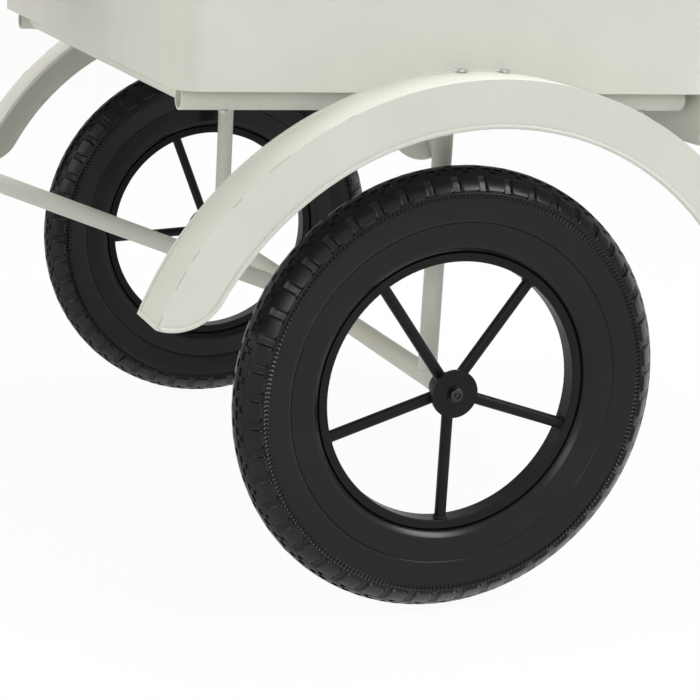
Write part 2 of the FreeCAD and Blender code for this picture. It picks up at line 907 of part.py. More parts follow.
def axle_spacers():
    inner_face = fork_half_spacing - fork_end_thickness / 2 - running_gap
    outer_face = fork_half_spacing + fork_end_thickness / 2 + running_gap
    spans = [
        (-crank_face(), -outer_face),
        (-inner_face, -hub_outer_reach),
        (hub_inner_reach + bush_flange_thickness, inner_face),
        (outer_face, crank_face()),
    ]
    return [ring(spacer_diameter / 2, front_axle_diameter / 2, low, high) for low, high in spans]


def crank(side):
    low = vec(0, min(side * crank_face(), side * nut_face()), 0)
    half = crank_width / 2
    tip = vec(0, 0, side * crank_length)
    arm = block(low + vec(-half, 0, min(0, tip.z)), low + vec(half, crank_thickness, max(0, tip.z)))
    for centre in (vec(0, 0, 0), tip):
        arm = arm.fuse(rod(low + centre, low + centre + Y_AXIS * crank_thickness, crank_width))
    arm = merged(arm)
    for centre, diameter in ((vec(0, 0, 0), front_axle_diameter), (tip, pedal_pin_diameter)):
        arm = arm.cut(rod(low + centre, low + centre + Y_AXIS * crank_thickness, diameter))
    return arm


def axle_nut(side):
    face = vec(0, side * nut_face(), 0)
    way = Y_AXIS * side
    body = rod(face, face + way * axle_nut_height, axle_nut_diameter)
    return body.cut(rod(face, face + way * (axle_nut_height / 2), front_axle_diameter))


def pedal_start():
    return nut_face() + running_gap


def pedal_centre_z(side):
    return side * crank_length


def pedal_pin(side):
    z = pedal_centre_z(side)
    far = pedal_start() + pedal_length + running_gap
    way = Y_AXIS * side
    pin = rod(vec(0, side * crank_face(), z), vec(0, side * far, z), pedal_pin_diameter)
    head_low = vec(0, side * far, z)
    return merged(pin.fuse(rod(head_low, head_low + way * pedal_head_thickness, pedal_head_diameter)))


def pedal_span(side, inset):
    ends = (side * (pedal_start() + inset), side * (pedal_start() + pedal_length - inset))
    return min(ends), max(ends)


def pedal_frame(side):
    z = pedal_centre_z(side)
    low_y, high_y = pedal_span(side, 0)
    half_depth = pedal_depth / 2
    half_height = pedal_pad_height / 2 - pedal_pad_round
    body = rod(vec(0, low_y, z), vec(0, high_y, z), pedal_sleeve_diameter)
    for y in (low_y, high_y - pedal_plate_thickness):
        plate = block(vec(-half_depth, y, z - half_height),
                      vec(half_depth, y + pedal_plate_thickness, z + half_height))
        body = body.fuse(plate)
    bore = rod(vec(0, low_y, z), vec(0, high_y, z), pedal_pin_diameter + 2 * running_fit)
    return merged(body).cut(bore)


def pedal_pads(side):
    z = pedal_centre_z(side)
    low_y, high_y = pedal_span(side, pedal_plate_thickness)
    half_height = pedal_pad_height / 2
    outer = pedal_depth / 2
    inner = outer - pedal_pad_width
    found = []
    for low_x in (-outer, inner):
        pad = block(vec(low_x, low_y, z - half_height), vec(low_x + pedal_pad_width, high_y, z + half_height))
        long_edges = [edge for edge in pad.Edges if edge.BoundBox.YLength > pedal_pad_width * 2]
        found.append(pad.makeFillet(pedal_pad_round, long_edges))
    return found


def at_front_axle(shape):
    return moved(shape, front_axle_x, 0, axle_z)


os.makedirs("parts", exist_ok=True)

treaded = tyre()
save_wheel("left_rear", treaded, at_left_wheel, left_wheel_angle, spindle_diameter, running_fit)
save_wheel("right_rear", treaded, at_right_wheel, right_wheel_angle, spindle_diameter, running_fit)
save_wheel("front", treaded, at_front_axle, front_wheel_angle, front_axle_diameter, 0)

save("rear_axle_tube", rear_axle_tube())
for name, piece in (("rear_spindles", spindle()), ("rear_axle_washers", axle_washer()),
                    ("rear_axle_screws", axle_screw())):
    save(name, at_left_wheel(piece), at_right_wheel(piece))

for name, side in (("left", -1), ("right", 1)):
    save(name + "_upright", upright(side))
    save(name + "_tray_rail", tray_rail(side))
    save(name + "_grip", in_steering(grip(side)))
    save(name + "_pedal_frame", at_front_axle(pedal_frame(side)))
    save(name + "_pedal_pads", *[at_front_axle(pad) for pad in pedal_pads(side)])

save("tray_crossbars", crossbar(axle_x - upper_tray_front + crossbar_inset),
     crossbar(axle_x + upper_tray_rear - crossbar_inset))
save("backbone_tube", backbone_tube())
save("head_tube", head_tube())
save("headset_bushes", in_steering(headset_bush(head_bottom, -1)), in_steering(headset_bush(head_top, 1)))
save("seat_tube", seat_tube())
save("seat_post", seat_post())
save("seat_collar", seat_collar())
save("saddle", saddle())
save("saddle_plate", saddle_plate())

save("upper_tray", upper_tray())
save("lower_tray", lower_tray())
save("tray_screws", *[screw(seat, Z_AXIS, tray_screw_grip()) for seat in tray_screw_seats()])
save("tray_joining_screws", *[screw(seat, -X_AXIS, screw_tail) for seat in joining_screw_seats()])
save("left_fender", at_left_fender(fender()))
save("right_fender", mirrored(at_left_fender(fender())))
brackets = [at_left_fender(fender_bracket())]
save("fender_brackets", *brackets, *[mirrored(bracket) for bracket in brackets])
bolts = [at_left_fender(bolt) for bolt in fender_screws()]
save("fender_screws", *bolts, *[mirrored(bolt) for bolt in bolts])

save("fork_blades", in_steering(fork_blade(-1)), in_steering(fork_blade(1)))
save("fork_ends", in_steering(fork_end(-1)), in_steering(fork_end(1)))
save("fork_crown", in_steering(fork_crown()))
save("steerer_tube", in_steering(steerer()))
save("lock_collar", in_steering(lock_collar()))
save("stem", in_steering(stem()))
save("handlebar", in_steering(handlebar()))
save("front_axle", at_front_axle(front_axle()))
save("front_axle_spacers", *[at_front_axle(spacer) for spacer in axle_spacers()])
save("cranks", at_front_axle(crank(-1)), at_front_axle(crank(1)))
save("pedal_pins", at_front_axle(pedal_pin(-1)), at_front_axle(pedal_pin(1)))
save("front_axle_nuts", at_front_axle(axle_nut(-1)), at_front_axle(axle_nut(1)))
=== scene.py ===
import json
import math
import random

import bpy
import numpy as np
from mathutils import Matrix, Vector

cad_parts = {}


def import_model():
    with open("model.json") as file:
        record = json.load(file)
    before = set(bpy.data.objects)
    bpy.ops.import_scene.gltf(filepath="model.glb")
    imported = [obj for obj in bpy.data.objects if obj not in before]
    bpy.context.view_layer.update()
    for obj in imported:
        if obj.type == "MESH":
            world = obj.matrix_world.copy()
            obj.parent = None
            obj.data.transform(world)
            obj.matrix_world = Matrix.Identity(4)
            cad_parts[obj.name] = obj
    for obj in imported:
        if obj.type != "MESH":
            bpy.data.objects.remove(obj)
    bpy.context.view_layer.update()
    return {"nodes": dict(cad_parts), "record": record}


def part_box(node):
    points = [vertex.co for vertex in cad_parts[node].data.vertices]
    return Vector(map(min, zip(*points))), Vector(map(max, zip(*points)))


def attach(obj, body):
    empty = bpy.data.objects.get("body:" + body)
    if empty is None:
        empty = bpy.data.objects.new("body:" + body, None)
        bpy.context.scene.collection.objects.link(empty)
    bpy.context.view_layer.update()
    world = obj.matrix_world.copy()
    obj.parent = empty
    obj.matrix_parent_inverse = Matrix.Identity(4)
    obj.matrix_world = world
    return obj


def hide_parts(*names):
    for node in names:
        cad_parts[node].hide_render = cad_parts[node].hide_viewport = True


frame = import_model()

MM = 0.001
TURN = 2 * math.pi


def middle(node):
    low, high = (Vector(corner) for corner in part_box(node))
    return (low + high) / 2


def extent(node):
    low, high = (Vector(corner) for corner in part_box(node))
    return high - low


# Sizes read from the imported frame
left_wheel = middle("left_rear_tyre")
right_wheel = middle("right_rear_tyre")
front_wheel = middle("front_tyre")
tyre_radius = extent("left_rear_tyre").x / 2
tyre_half_width = extent("left_rear_tyre").y / 2
rim_radius = extent("left_rear_rim").x / 2
axle_radius = extent("rear_axle_tube").x / 2
rail_radius = extent("left_tray_rail").z / 2
frame_tube_radius = extent("left_upright").x / 2
left_rail = middle("left_tray_rail")
right_rail = middle("right_tray_rail")
screw_low, screw_high = (Vector(corner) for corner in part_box("rear_axle_screws"))
fender_low, fender_high = (Vector(corner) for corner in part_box("left_fender"))

# Sizes that the boxes don't give
rim_inner_radius = 107 * MM
spoke_radius = 4.7 * MM
spoke_count = 5
hub_radius = 11.5 * MM
left_wheel_angle = math.radians(-90)
right_wheel_angle = math.radians(-104)
front_wheel_angle = math.radians(90)
screw_head_radius = 5.6 * MM
screw_head_height = 3.2 * MM
screw_socket_flats = 4.6 * MM
screw_socket_depth = 2.0 * MM
screw_socket_sides = 6
fender_end_angle = math.radians(21)
fender_side_depth = 37.3 * MM
fender_corner_radius = 42 * MM
hem_height = 0.9 * MM
hem_roll_radius = 1.8 * MM
crease_line_radius = 0.17 * MM
steering_tilt = math.radians(18)
backbone_rise = math.radians(20.8)
head_tube_radius = 16 * MM
seat_tube_radius = 11 * MM
spoke_weld_radius = 1.4 * MM
frame_weld_radius = 1.0 * MM
spoke_weld_roughness_share = 0.5
frame_weld_roughness_share = 0.35

# How finely round forms are drawn, and the angles past which an edge shows as sharp
weld_sides = 8
hem_sides = 10
crease_sides = 6
spoke_weld_steps = 24
frame_weld_steps = 40
side_hem_corner_steps = 24
side_hem_arc_steps = 90
band_hem_steps = 96
crease_steps = 12
screw_segments = 48
node_sharp_angle = math.radians(32)
tyre_sharp_angle = math.radians(42)
screw_sharp_angle = math.radians(40)

# Tyre section as shares of its height over the rim and of its half width, from bead to shoulder
bead_shares = ((-0.004, 0.24), (0.016, 0.26), (0.020, 0.40), (0.028, 0.475), (0.046, 0.532), (0.066, 0.592),
               (0.086, 0.650), (0.102, 0.682), (0.122, 0.692))
wall_shares = ((0.160, 0.702), (0.220, 0.719), (0.300, 0.737), (0.366, 0.747))
line_shares = ((0.373, 0.749), (0.380, 0.726), (0.387, 0.755))
cheek_shares = ((0.430, 0.784), (0.480, 0.818), (0.540, 0.858), (0.600, 0.890), (0.636, 0.905))
tooth_shares = ((0.640, 0.907), (0.655, 0.920), (0.682, 0.946), (0.702, 0.965), (0.716, 0.970),
                (0.729, 0.960))
tooth_full_row = 2
foot_shares = ((0.740, 0.938), (0.744, 0.940), (0.764, 0.988))
shoulder_shares = ((0.768, 1.000), (0.880, 0.687), (0.9715, 0.311))

# Widths of the mesh's rows over the shoulder and the crown, where the section is two arcs
pad_width_shares = (0.998, 0.985, 0.965, 0.935, 0.895, 0.850, 0.800, 0.745, 0.690, 0.640, 0.600, 0.570,
                    0.545, 0.525, 0.512)
notch_width_shares = (0.508, 0.504, 0.450, 0.400, 0.396)
near_width_shares = (0.386, 0.382, 0.310, 0.246, 0.242)
middle_width_shares = (0.198, 0.194, 0.100, 0.004, 0.000)
gap_fade_width_share = 0.640
block_step_width_share = 0.600

# Tread, where a place along it is a share of the pitch from pad to pad
tread_count = 48
tread_pitch = TURN / tread_count
teeth_per_pad = 6
columns_per_tooth = 5
tread_angle = math.radians(-1.6)
pad_foot_share = 0.71
pad_top_share = 0.72
pad_depth = 2.2 * MM
pad_depth_shares = (0.85, 1.0, 0.6, 0.2)
pad_climb_shares = (0.0, 0.05, 0.5, 1.0)
pad_lean_share = 0.85
pad_corner = 2.4 * MM
block_step = 0.25 * MM
slit_depth = 0.4 * MM
slit_width_share = 0.022
end_slit_share = 0.6
# strengths of the tyre's painted shade over gap floors and between teeth, and the depth step at which an
# edge's painted shade is full
gap_shade_share = 0.12
tooth_shade_share = 0.6
dark_step = 0.8 * MM
tooth_depth = 1.7 * MM
zigzag_depth = 0.9 * MM
notch_shares = ((0.27, 0.45),)
near_pocket_shares = ((0.01, 0.26), (0.46, 0.73))
middle_pocket_shares = ((0.76, 1.00),)
stagger_share = 0.5


def smooth_step(value, low, high):
    t = np.clip((value - low) / (high - low), 0, 1)
    return t * t * (3 - 2 * t)


def new_object(name, mesh, body, material):
    piece = bpy.data.objects.new(name, mesh)
    bpy.context.scene.collection.objects.link(piece)
    piece.data.materials.append(material)
    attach(piece, body)
    return piece


def shade_smooth(mesh):
    mesh.polygons.foreach_set("use_smooth", [True] * len(mesh.polygons))


def mesh_of(name, points, faces):
    mesh = bpy.data.meshes.new(name)
    mesh.from_pydata(points, [], faces)
    shade_smooth(mesh)
    mesh.update()
    return mesh


def loop_faces(rows, columns, close_rows, start=0):
    # quads over a grid of points whose columns run round
    index = start + np.arange(rows * columns).reshape(rows, columns)
    here = index if close_rows else index[:-1]
    ahead = np.roll(index, -1, 0) if close_rows else index[1:]
    quads = np.stack([here, np.roll(here, -1, 1), np.roll(ahead, -1, 1), ahead], -1)
    return quads.reshape(-1, 4).tolist()


# Tyre with shoulder pads, a toothed ring and a zigzag of pockets

def circle_through(a, b, c):
    # centre and radius of the circle through three points of a plane
    twice_area = 2 * (a.x * (b.y - c.y) + b.x * (c.y - a.y) + c.x * (a.y - b.y))
    squares = a.length_squared, b.length_squared, c.length_squared
    x = (squares[0] * (b.y - c.y) + squares[1] * (c.y - a.y) + squares[2] * (a.y - b.y)) / twice_area
    y = (squares[0] * (c.x - b.x) + squares[1] * (a.x - c.x) + squares[2] * (b.x - a.x)) / twice_area
    centre = Vector((x, y))
    return centre, (a - centre).length


def section_rise(width_share):
    # how high the shoulder's or the crown's arc stands at a share of the half width
    height = tyre_radius - rim_radius
    shoulder = [Vector((rise * height, width * tyre_half_width)) for rise, width in shoulder_shares]
    edge = shoulder[-1]
    crown = (edge, Vector((height, 0)), Vector((edge.x, -edge.y)))
    centre, radius = circle_through(*(shoulder if width_share >= shoulder_shares[-1][1] else crown))
    return (centre.x + math.sqrt(radius ** 2 - (width_share * tyre_half_width - centre.y) ** 2)) / height


def tooth_depths(rise, column_count):
    # the cuts between teeth run out towards the cheek
    low, full, high = (tooth_shares[row][0] for row in (0, tooth_full_row, -1))
    in_teeth = (rise > low) & (rise < high)
    tooth_turn = TURN * (np.arange(column_count) % columns_per_tooth) / columns_per_tooth
    between_teeth = np.sqrt((1 - np.cos(tooth_turn)) / 2)
    taper = np.clip((rise - low) / (full - low), 0, 1)
    return tooth_depth * taper * in_teeth * between_teeth[None, :]


def pad_depths(rise, place, radius, along):
    # the gaps between pads with a slit at each end, and the small step up to the blocks above
    low, high = foot_shares[-1][0], section_rise(pad_width_shares[-1])
    in_pads = (rise >= low) & (rise <= high)
    climb = (rise - low) / (high - low)
    foot = along[int(np.argmax(rise >= low))]
    from_foot = np.minimum(along, along[-1] - along)[:, None] - foot
    inset = np.clip(pad_corner - from_foot, 0, pad_corner)
    rounding = (pad_corner - np.sqrt(pad_corner ** 2 - inset ** 2)) / (radius[:, None] * tread_pitch)
    end = pad_foot_share + (pad_top_share - pad_foot_share) * climb - rounding
    half_column = 1 / (2 * teeth_per_pad * columns_per_tooth)
    after_start = smooth_step(place, rounding - half_column, rounding + half_column)
    after_end = smooth_step(place, end - half_column, end + half_column)
    pad = after_start * (1 - after_end)
    slit = np.exp(-(np.minimum(place, 1 - place) / slit_width_share) ** 2)
    end_slit = end_slit_share * np.exp(-((place - end) / slit_width_share) ** 2)
    fade = 1 - smooth_step(rise, section_rise(gap_fade_width_share), high)
    sink = pad_depth * np.interp(climb, pad_climb_shares, pad_depth_shares) * (1 - pad)
    gaps = (sink + slit_depth * (slit + end_slit)) * fade * in_pads
    return gaps + block_step * smooth_step(rise, section_rise(block_step_width_share), high) * in_pads


def pocket_depths(rise, width, place):
    on_crown = rise > section_rise(pad_width_shares[-1])
    depth = 0
    for row, spans in ((notch_width_shares, notch_shares), (near_width_shares, near_pocket_shares),
                       (middle_width_shares, middle_pocket_shares)):
        inside = on_crown & (width < row[0]) & (width > row[-1])
        for start, end in spans:
            depth = depth + zigzag_depth * (inside & (place >= start) & (place <= end))
    return depth


def tread_depths(shares, radius, along, angle):
    # how deep every point of the mesh lies under the plain section
    rise, width = shares[:, :1], shares[:, 1:]
    stagger = np.where(width > 0, 0, stagger_share)
    place = np.mod((angle[None, :] - tread_angle) / tread_pitch + stagger, 1)
    return (tooth_depths(rise, len(angle)) + pad_depths(rise, place, radius, along)
            + pocket_depths(rise, np.abs(width), place))


def groove_shade(shares, depth):
    # painted shade: full along the steps round pads and pockets, weaker over floors and between teeth
    steps = [np.abs(depth - np.roll(depth, move, axis)) for axis in (0, 1) for move in (1, -1)]
    edges = np.maximum.reduce(steps) / dark_step
    in_teeth = (shares[:, :1] > tooth_shares[0][0]) & (shares[:, :1] <= foot_shares[1][0])
    on_tread = np.maximum(edges, gap_shade_share * depth / pad_depth)
    return np.clip(np.where(in_teeth, tooth_shade_share * depth / tooth_depth, on_tread), 0, 1)


def tyre_mesh(name, centre, side):
    # side is 1 where the outer side faces -Y and -1 where it faces +Y
    widths = pad_width_shares + notch_width_shares + near_width_shares + middle_width_shares
    arcs = tuple((section_rise(width), width) for width in widths)
    below_teeth = bead_shares + wall_shares + line_shares + cheek_shares
    half = np.array(below_teeth + tooth_shares + foot_shares + arcs)
    shares = np.concatenate([half, half[-2::-1] * np.array([1, -1])])
    radius = rim_radius + (tyre_radius - rim_radius) * shares[:, 0]
    across = -tyre_half_width * shares[:, 1]
    along = np.concatenate([[0], np.cumsum(np.hypot(np.diff(radius), np.diff(across)))])
    step = np.gradient(np.stack([radius, across], 1), axis=0)
    step /= np.linalg.norm(step, axis=1, keepdims=True)
    on_shoulder = shares[:, 0] > foot_shares[0][0]
    for way in (1, -1):
        # at their feet the gaps between pads are sunk square to the shoulder above
        beside = np.abs(way * shares[:, 1] - pad_lean_share) + ~on_shoulder
        step[on_shoulder & (way * shares[:, 1] > pad_lean_share)] = step[np.argmin(beside)]
    column_count = tread_count * teeth_per_pad * columns_per_tooth
    angle = np.arange(column_count) * TURN / column_count + tread_angle
    depth = tread_depths(shares, radius, along, angle)
    out_radius = radius[:, None] - step[:, 1:] * depth
    out_across = side * (across[:, None] + step[:, :1] * depth)
    points = np.stack([centre.x + out_radius * np.cos(angle)[None, :],
                       centre.y + out_across,
                       centre.z + out_radius * np.sin(angle)[None, :]], -1)
    faces = loop_faces(len(radius), column_count, True)
    if side < 0:
        faces = [face[::-1] for face in faces]
    mesh = mesh_of(name, points.reshape(-1, 3).tolist(), faces)
    # painted shade of every point, which the rubber's material mixes into its colour
    groove = mesh.attributes.new("groove", "FLOAT", "POINT")
    groove.data.foreach_set("value", groove_shade(shares, depth).ravel())
    return mesh


# Beads of weld and rolled edges, as round sections swept along a line

def swept_points(path, radius, closed, section_count, roughness, seed):
    chance = random.Random(seed)
    count = len(path)
    rings = []
    side = None
    for number, point in enumerate(path):
        before = path[number - 1] if closed or number else point
        after = path[(number + 1) % count] if closed or number < count - 1 else point
        along = (after - before).normalized()
        if side is None:
            side = along.orthogonal().normalized()
        side = (side - along * side.dot(along)).normalized()
        other = along.cross(side)
        size = radius * (1 + roughness * (chance.random() - 0.5))
        ring = []
        for step in range(section_count):
            turn = TURN * step / section_count
            ring.append(tuple(point + (side * math.cos(turn) + other * math.sin(turn)) * size))
        rings.append(ring)
    return rings


def sweep_mesh(name, paths, radius, closed, section_count, roughness=0.0):
    points, faces = [], []
    for number, path in enumerate(paths):
        rings = swept_points(path, radius, closed, section_count, roughness, number)
        faces += loop_faces(len(rings), section_count, closed, len(points))
        if not closed:
            first = len(points)
            last = first + (len(rings) - 1) * section_count
            faces.append(list(range(first, first + section_count)))
            faces.append(list(reversed(range(last, last + section_count))))
        points += [point for ring in rings for point in ring]
    return mesh_of(name, points, faces)


def joint_line(start, way, radius, partner_point, partner_way, partner_radius, steps=frame_weld_steps):
    # the line where a tube's surface meets its partner's round surface
    way = way.normalized()
    partner_way = partner_way.normalized()
    side = way.orthogonal().normalized()
    other = way.cross(side)
    found = []
    for number in range(steps):
        turn = TURN * number / steps
        base = start + (side * math.cos(turn) + other * math.sin(turn)) * radius - partner_point
        flat_base = base - partner_way * base.dot(partner_way)
        flat_way = way - partner_way * way.dot(partner_way)
        a = flat_way.length_squared
        b = 2 * flat_base.dot(flat_way)
        c = flat_base.length_squared - partner_radius ** 2
        reach = (-b + math.sqrt(max(b * b - 4 * a * c, 0))) / (2 * a)
        found.append(base + partner_point + way * reach)
    return found


def spoke_welds(centre, first_angle):
    axle_way = Vector((0, 1, 0))
    found = []
    for number in range(spoke_count):
        angle = first_angle + TURN * number / spoke_count
        way = Vector((math.cos(angle), 0, math.sin(angle)))
        for radius in (rim_inner_radius, hub_radius):
            found.append(joint_line(centre, way, spoke_radius, centre, axle_way, radius, spoke_weld_steps))
    return found


def frame_welds():
    up, back, right = Vector((0, 0, 1)), Vector((1, 0, 0)), Vector((0, 1, 0))
    axle = Vector((left_wheel.x, 0, left_wheel.z))
    found = []
    for rail in (left_rail, right_rail):
        foot = Vector((axle.x, rail.y, axle.z))
        head = Vector((axle.x, rail.y, rail.z))
        found.append(joint_line(foot, up, frame_tube_radius, axle, right, axle_radius))
        found.append(joint_line(head, -up, frame_tube_radius, rail, back, rail_radius))
    bars_low, bars_high = (Vector(corner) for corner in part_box("tray_crossbars"))
    for x in (bars_low.x + frame_tube_radius, bars_high.x - frame_tube_radius):
        for rail, way in ((left_rail, right), (right_rail, -right)):
            end = Vector((x, rail.y, rail.z))
            found.append(joint_line(end, way, frame_tube_radius, rail, back, rail_radius))
    spine = Vector((-math.cos(backbone_rise), 0, math.sin(backbone_rise)))
    found.append(joint_line(axle, spine, frame_tube_radius, axle, right, axle_radius))
    head_way = Vector((math.sin(steering_tilt), 0, math.cos(steering_tilt)))
    head = middle("head_tube")
    meet = axle + spine * ((axle - head).cross(head_way).length / spine.cross(head_way).length)
    found.append(joint_line(meet, -spine, frame_tube_radius, head, head_way, head_tube_radius))
    seat = middle("seat_tube")
    foot = Vector((seat.x, 0, axle.z + (axle.x - seat.x) * math.tan(backbone_rise)))
    found.append(joint_line(foot, up, seat_tube_radius, axle, spine, frame_tube_radius))
    return found


# Fender edges

def fender_frame(side):
    flat_y = side * (abs(fender_low.y) - hem_height)
    half_length = (fender_high.x - fender_low.x) / 2
    radius = half_length / math.cos(fender_end_angle) - hem_height
    centre = Vector(((fender_low.x + fender_high.x) / 2, flat_y, fender_high.z - hem_height - radius))
    return centre, radius


def arc_points(centre, radius, start, end, y, steps):
    found = []
    for number in range(steps + 1):
        angle = start + (end - start) * number / steps
        found.append(Vector((centre.x + radius * math.cos(angle), y, centre.z + radius * math.sin(angle))))
    return found


def corner_span(outer_radius, corner, hub_reach):
    # the angle at the fender's centre between a corner's hub and the corner's outer end
    cosine = (hub_reach ** 2 + outer_radius ** 2 - corner ** 2) / (2 * hub_reach * outer_radius)
    return math.acos(cosine)


def side_hem_path(side):
    centre, radius = fender_frame(side)
    hub_reach = radius - fender_side_depth + fender_corner_radius
    hub_angle = fender_end_angle + corner_span(radius, fender_corner_radius, hub_reach)
    corner = fender_corner_radius - hem_roll_radius
    outer = radius - hem_roll_radius
    tip_angle = hub_angle - corner_span(outer, corner, hub_reach)
    hub = Vector((hub_reach * math.cos(hub_angle), hub_reach * math.sin(hub_angle)))
    tip = Vector((outer * math.cos(tip_angle), outer * math.sin(tip_angle))) - hub
    start = math.atan2(tip.y, tip.x)
    end = hub_angle - math.pi
    rear, front = [], []
    for number in range(side_hem_corner_steps + 1):
        angle = start + (end - start) * number / side_hem_corner_steps
        x = hub.x + corner * math.cos(angle)
        z = centre.z + hub.y + corner * math.sin(angle)
        rear.append(Vector((centre.x + x, centre.y, z)))
        front.append(Vector((centre.x - x, centre.y, z)))
    inner = radius - fender_side_depth + hem_roll_radius
    edge = arc_points(centre, inner, hub_angle, math.pi - hub_angle, centre.y, side_hem_arc_steps)
    return rear + edge[1:-1] + front[::-1]


def band_hem_path(side):
    centre, radius = fender_frame(side)
    end = fender_end_angle + hem_roll_radius / radius
    far_y = centre.y - side * (extent("left_fender").y - hem_height - hem_roll_radius)
    crest = radius + hem_height - hem_roll_radius
    edge = arc_points(centre, crest, end, math.pi - end, far_y, band_hem_steps)
    near_y = centre.y - side * hem_roll_radius
    first = Vector((edge[0].x, near_y, edge[0].z))
    last = Vector((edge[-1].x, near_y, edge[-1].z))
    return [first] + edge + [last]


# the thin dark dashes along each fender's crease between band and side are painted shadow; these are their
# starts and ends as shares of the fender's arc
crease_dash_shares = ((0.004, 0.016), (0.048, 0.070), (0.082, 0.096), (0.152, 0.166), (0.205, 0.235),
                      (0.31, 0.318), (0.69, 0.70), (0.79, 0.81), (0.93, 0.95))


def crease_dashes(side):
    centre, radius = fender_frame(side)
    whole = math.pi - 2 * fender_end_angle
    found = []
    for low, high in crease_dash_shares:
        start = math.pi - fender_end_angle - whole * low
        end = math.pi - fender_end_angle - whole * high
        found.append(arc_points(centre, radius, start, end, centre.y, crease_steps))
    return found


# Button-head axle screws with a hexagon socket

screw_dome_shares = ((1.00, 1.00), (1.00, 0.40), (0.97, 0.18), (0.90, 0.05), (0.80, 0.0))
socket_shares = ((1.08, 0.0), (1.0, 0.12), (1.0, 1.0), (0.02, 1.6))


def socket_radius(angle):
    side_turn = TURN / screw_socket_sides
    return screw_socket_flats / 2 / math.cos(angle % side_turn - side_turn / 2)


def axle_screw_mesh(name):
    turns = [TURN * number / screw_segments for number in range(screw_segments)]
    rings = []
    for width, depth in screw_dome_shares:
        rings.append([(screw_head_radius * width, screw_head_height * depth, turn) for turn in turns])
    for width, depth in socket_shares:
        rings.append([(socket_radius(turn) * width, screw_socket_depth * depth, turn) for turn in turns])
    points, faces = [], []
    for tip_y, way in ((screw_low.y, 1), (screw_high.y, -1)):
        quads = loop_faces(len(rings), screw_segments, False, len(points))
        faces += quads if way > 0 else [quad[::-1] for quad in quads]
        for ring in rings:
            for radius, depth, turn in ring:
                points.append((left_wheel.x + radius * math.cos(turn), tip_y + way * depth,
                               left_wheel.z + radius * math.sin(turn)))
    return mesh_of(name, points, faces)


# Materials, with colours as sRGB levels of 255

cloud_scale, cloud_detail = 14, 4
smear_scale, smear_detail = 38, 5
metal_scale, metal_detail = 90, 4
peel_detail = 2
peel_strength = 0.3
ramp_end_shares = (0.3, 0.7)
# near black of the tyre's painted shade in grooves and along the steps of pads, pockets and teeth
painted_groove_shade_colour = (11, 11, 12)


def node_material(name):
    material = bpy.data.materials.new(name)
    material.use_nodes = True
    nodes = material.node_tree.nodes
    return material, nodes, material.node_tree.links, nodes["Principled BSDF"]


def add_noise(nodes, links, scale, detail):
    place = nodes.new("ShaderNodeTexCoord")
    noise = nodes.new("ShaderNodeTexNoise")
    noise.inputs["Scale"].default_value = scale
    noise.inputs["Detail"].default_value = detail
    links.new(place.outputs["Object"], noise.inputs["Vector"])
    return noise


def add_ramp(nodes, links, source, low, high):
    ramp = nodes.new("ShaderNodeValToRGB")
    low_end, high_end = ramp.color_ramp.elements
    low_end.position, high_end.position = ramp_end_shares
    low_end.color = (*low, 1)
    high_end.color = (*high, 1)
    links.new(source, ramp.inputs["Fac"])
    return ramp


def add_range(nodes, links, source, low, high):
    span = nodes.new("ShaderNodeMapRange")
    span.inputs["To Min"].default_value = low
    span.inputs["To Max"].default_value = high
    links.new(source, span.inputs["Value"])
    return span


def add_bump(nodes, links, source, shader, strength, distance):
    bump = nodes.new("ShaderNodeBump")
    bump.inputs["Strength"].default_value = strength
    bump.inputs["Distance"].default_value = distance
    links.new(source, bump.inputs["Height"])
    links.new(bump.outputs["Normal"], shader.inputs["Normal"])


def linear(*srgb):
    # the sRGB curve above its short straight foot
    return tuple(((value / 255 + 0.055) / 1.055) ** 2.4 for value in srgb)


def surface(name, dark, light, rough, peel_scale, peel_depth, specular):
    material, nodes, links, shader = node_material(name)
    shader.inputs["Specular IOR Level"].default_value = specular
    cloud = add_noise(nodes, links, cloud_scale, cloud_detail)
    colour = add_ramp(nodes, links, cloud.outputs["Fac"], linear(*dark), linear(*light))
    links.new(colour.outputs["Color"], shader.inputs["Base Color"])
    smear = add_noise(nodes, links, smear_scale, smear_detail)
    spread = add_range(nodes, links, smear.outputs["Fac"], *rough)
    links.new(spread.outputs["Result"], shader.inputs["Roughness"])
    peel = add_noise(nodes, links, peel_scale, peel_detail)
    add_bump(nodes, links, peel.outputs["Fac"], shader, peel_strength, peel_depth)
    return material


def tyre_rubber():
    # painted shade: the base colour goes towards a near black along the steps round pads and pockets, and
    # partly over gap floors and between teeth
    material = surface("tyre_rubber", dark=(16, 17, 18), light=(20, 21, 22), rough=(0.21, 0.29),
                       peel_scale=1500, peel_depth=0.1 * MM, specular=0.25)
    nodes, links = material.node_tree.nodes, material.node_tree.links
    shader = nodes["Principled BSDF"]
    plain = shader.inputs["Base Color"].links[0].from_socket
    # the mesh's painted shade, read from its groove attribute
    groove = nodes.new("ShaderNodeAttribute")
    groove.attribute_name = "groove"
    shade = nodes.new("ShaderNodeMix")
    shade.data_type = "RGBA"
    colours = [socket for socket in shade.inputs if socket.type == "RGBA"]
    colours[1].default_value = (*linear(*painted_groove_shade_colour), 1)
    links.new(groove.outputs["Fac"], shade.inputs["Factor"])
    links.new(plain, colours[0])
    result = next(socket for socket in shade.outputs if socket.type == "RGBA")
    links.new(result, shader.inputs["Base Color"])
    return material


def bare_metal(name, dark, light, rough):
    material, nodes, links, shader = node_material(name)
    shader.inputs["Metallic"].default_value = 1.0
    cloud = add_noise(nodes, links, metal_scale, metal_detail)
    colour = add_ramp(nodes, links, cloud.outputs["Fac"], linear(*dark), linear(*light))
    links.new(colour.outputs["Color"], shader.inputs["Base Color"])
    spread = add_range(nodes, links, cloud.outputs["Fac"], *rough)
    links.new(spread.outputs["Result"], shader.inputs["Roughness"])
    return material


